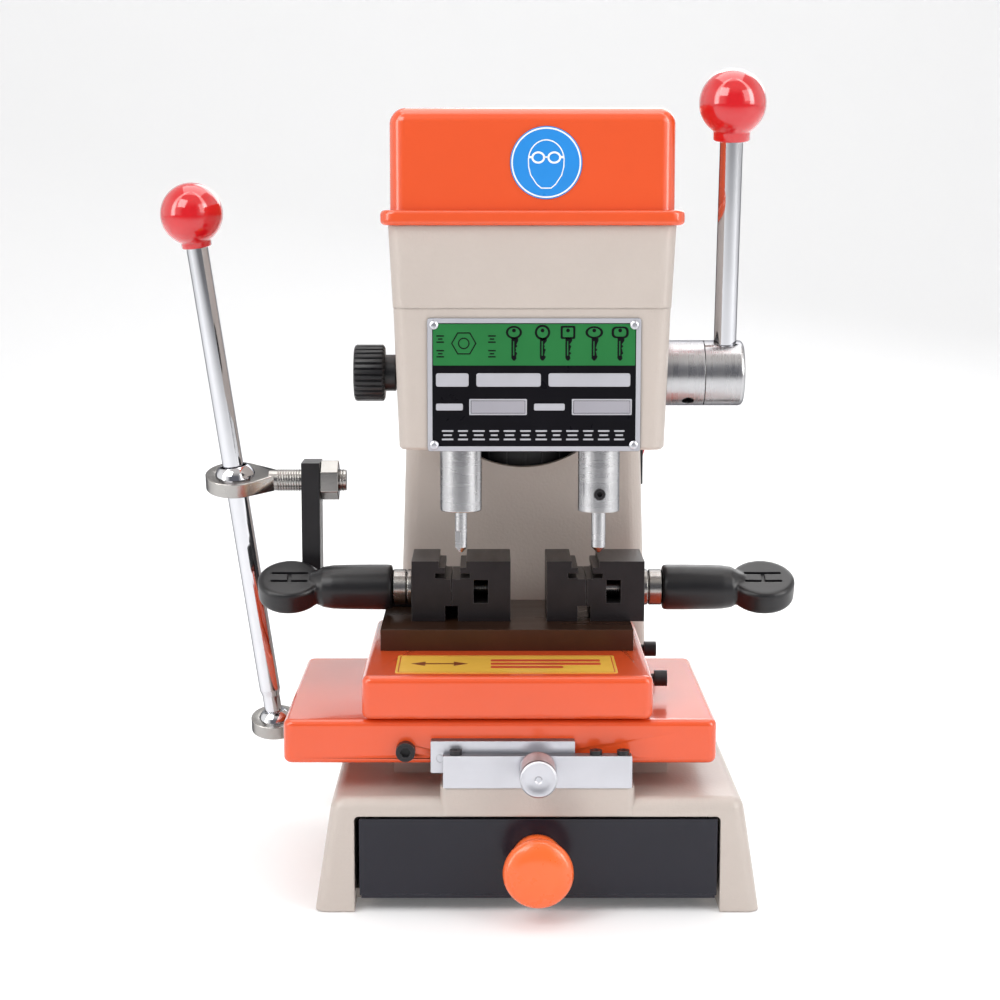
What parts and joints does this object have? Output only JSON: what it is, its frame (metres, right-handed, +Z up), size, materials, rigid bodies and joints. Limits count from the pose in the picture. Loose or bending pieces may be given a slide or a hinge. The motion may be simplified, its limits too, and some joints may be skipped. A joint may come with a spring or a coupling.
{
  "type": "key duplicating machine",
  "caption": "Bench key duplicating machine: cutter and tracer on one feed lever, two key vices on a two-way carriage steered by a long lever, over a base with a drawer.",
  "frame": {"origin": "middle of the base's footprint on the resting plane", "axes": "+X to the operator's right, +Y to the back, +Z up; the drawer and the vices face -Y"},
  "size_m": [0.355, 0.317, 0.4325],
  "materials": {
    "cast_paint": "textured beige-grey machine enamel",
    "orange_paint": "glossy orange enamel",
    "black_steel": "black oxide or black paint",
    "vice_steel": "blackened steel",
    "bright_steel": "turned and ground steel",
    "chrome": "polished chrome",
    "aluminium": "satin aluminium",
    "brass": "bearing bronze",
    "black_plastic": "black moulded plastic",
    "drawer_paint": "blue-black sheet metal",
    "orange_plastic": "orange moulded plastic",
    "red_plastic": "red moulded ball",
    "plate_print": "printed plate with a green band",
    "yellow_label": "yellow label",
    "blue_label": "blue round sign",
    "belt_rubber": "toothed rubber belt"
  },
  "bodies": {
    "frame": {"base_casting": "cast_paint", "base_screws": "black_steel", "column_casting": "cast_paint", "top_plate": "bright_steel", "cover_screws": "bright_steel", "belt_cover": "orange_paint", "cover_fixings": "bright_steel", "name_plate": "plate_print", "name_plate_rivets": "aluminium", "safety_label": "blue_label", "rear_cover": "black_steel", "motor_housing": "black_steel", "motor_mount_plate": "bright_steel", "motor_capacitor": "black_plastic", "drive_belt": "belt_rubber", "power_inlet": "black_plastic", "switch_bezel": "black_plastic", "x_lock_plate": "aluminium", "guide_rods": "bright_steel", "return_springs": "bright_steel", "feed_shaft_bushes": "brass", "feed_shaft_collar": "bright_steel"},
    "x_lock": {"x_lock_knob": "aluminium"},
    "power_switch": {"switch_rocker": "red_plastic"},
    "motor": {"motor_rotor": "bright_steel"},
    "driven_pulley": {"spindle_pulley": "aluminium"},
    "quill": {"quill_yoke": "cast_paint", "spindle_bearings": "bright_steel", "tracer_bar": "bright_steel", "tracer_pin": "bright_steel", "tracer_screw": "black_steel"},
    "spindle": {"spindle_shaft": "bright_steel", "cutter": "bright_steel"},
    "feed_lever": {"pinion_shaft": "bright_steel", "feed_hub": "bright_steel", "feed_rod": "chrome", "feed_knob": "red_plastic"},
    "quill_lock": {"quill_lock_knob": "black_plastic"},
    "drawer": {"drawer_tray": "drawer_paint", "drawer_knob": "orange_plastic"},
    "lower_carriage": {"lower_slide": "orange_paint", "x_gib": "brass", "x_lock_strip": "aluminium"},
    "upper_carriage": {"upper_slide": "orange_paint", "y_gib": "brass", "upper_slide_screws": "black_steel", "vice_base_block": "vice_steel", "slide_label": "yellow_label", "lever_bracket": "black_steel", "vice_bodies": "vice_steel"},
    "left_jaw": {"left_vice_jaw": "vice_steel"},
    "right_jaw": {"right_vice_jaw": "vice_steel"},
    "left_handle": {"left_vice_handle": "black_plastic"},
    "right_handle": {"right_vice_handle": "black_plastic"},
    "lever_foot": {"pivot_eye": "bright_steel"},
    "steering_lever": {"lever_rod": "chrome", "lever_knob": "red_plastic"},
    "lever_guide": {"guide_eye": "bright_steel", "guide_eye_nut": "bright_steel"},
    "lever_guide_ball": {"guide_ball": "chrome"}
  },
  "joints": [
    {"name": "drawer_slide", "type": "slide", "parent": "frame", "child": "drawer", "axis": [0, -1, 0], "range_m": [0, 0.12]},
    {"name": "cross_travel", "type": "slide", "parent": "frame", "child": "lower_carriage", "axis": [1, 0, 0], "range_m": [-0.012, 0.038]},
    {"name": "in_out_travel", "type": "slide", "parent": "lower_carriage", "child": "upper_carriage", "axis": [0, -1, 0], "range_m": [-0.004, 0.04]},
    {"name": "lever_fore_aft", "type": "hinge", "parent": "frame", "child": "lever_foot", "pos_m": [-0.1513, 0.022, 0.0596], "axis": [1, 0, 0], "range_deg": [-1.97, 15.24]},
    {"name": "lever_side", "type": "hinge", "parent": "lever_foot", "child": "steering_lever", "pos_m": [-0.1513, 0.022, 0.0596], "axis": [0, 0.9946, 0.1035], "range_deg": [-5, 14.76]},
    {"name": "guide_swivel", "type": "hinge", "parent": "upper_carriage", "child": "lever_guide", "pos_m": [-0.17066, 0.00677, 0.206], "axis": [1, 0, 0], "range_deg": [-1.97, 15.24]},
    {"name": "guide_ball_swivel", "type": "hinge", "parent": "lever_guide", "child": "lever_guide_ball", "pos_m": [-0.17066, 0.00677, 0.206], "axis": [0, 0.9946, 0.1035], "range_deg": [-5, 14.76]},
    {"name": "left_jaw_slide", "type": "slide", "parent": "upper_carriage", "child": "left_jaw", "axis": [-1, 0, 0], "range_m": [0, 0.004]},
    {"name": "left_handle_turn", "type": "hinge", "parent": "left_jaw", "child": "left_handle", "pos_m": [-0.0678, -0.026, 0.1496], "axis": [-1, 0, 0], "range_deg": [0, 790]},
    {"name": "right_jaw_slide", "type": "slide", "parent": "upper_carriage", "child": "right_jaw", "axis": [1, 0, 0], "range_m": [0, 0.004]},
    {"name": "right_handle_turn", "type": "hinge", "parent": "right_jaw", "child": "right_handle", "pos_m": [0.061, -0.026, 0.1496], "axis": [1, 0, 0], "range_deg": [0, 790]},
    {"name": "feed_turn", "type": "hinge", "parent": "frame", "child": "feed_lever", "pos_m": [0.1016, -0.06, 0.273], "axis": [1, 0, 0], "range_deg": [0, 90]},
    {"name": "quill_feed", "type": "slide", "parent": "frame", "child": "quill", "axis": [0, 0, -1], "range_m": [0, 0.0174], "deforming": ["return_springs"]},
    {"name": "motor_spin", "type": "hinge", "parent": "frame", "child": "motor", "pos_m": [-0.004, 0.088, 0.35], "axis": [0, 0, 1], "continuous": true},
    {"name": "pulley_spin", "type": "hinge", "parent": "frame", "child": "driven_pulley", "pos_m": [-0.0399, -0.079, 0.37], "axis": [0, 0, 1], "continuous": true},
    {"name": "spindle_spin", "type": "hinge", "parent": "quill", "child": "spindle", "pos_m": [-0.0399, -0.079, 0.25], "axis": [0, 0, 1], "continuous": true},
    {"name": "quill_lock_turn", "type": "hinge", "parent": "frame", "child": "quill_lock", "pos_m": [-0.085, -0.06, 0.273], "axis": [1, 0, 0], "range_deg": [0, 180]},
    {"name": "x_lock_turn", "type": "hinge", "parent": "frame", "child": "x_lock", "pos_m": [0, -0.155, 0.0768], "axis": [0, -1, 0], "range_deg": [0, 270]},
    {"name": "switch_rock", "type": "hinge", "parent": "frame", "child": "power_switch", "pos_m": [0.0633, 0.087, 0.211], "axis": [0, 1, 0], "range_deg": [-20, 0]}
  ],
  "couplings": [
    {"joint": "lever_fore_aft", "follows": "in_out_travel", "rad_per_m": 6.43},
    {"joint": "guide_swivel", "follows": "in_out_travel", "rad_per_m": 6.43},
    {"joint": "lever_side", "follows": "cross_travel", "rad_per_m": 6.55},
    {"joint": "guide_ball_swivel", "follows": "cross_travel", "rad_per_m": 6.55},
    {"joint": "left_handle_turn", "follows": "left_jaw_slide", "rad_per_m": 3141.6},
    {"joint": "right_handle_turn", "follows": "right_jaw_slide", "rad_per_m": 3141.6},
    {"joint": "quill_feed", "follows": "feed_turn", "m_per_rad": 0.011},
    {"joint": "pulley_spin", "follows": "motor_spin", "ratio": 1.5625},
    {"joint": "spindle_spin", "follows": "motor_spin", "ratio": 1.5625}
  ]
}
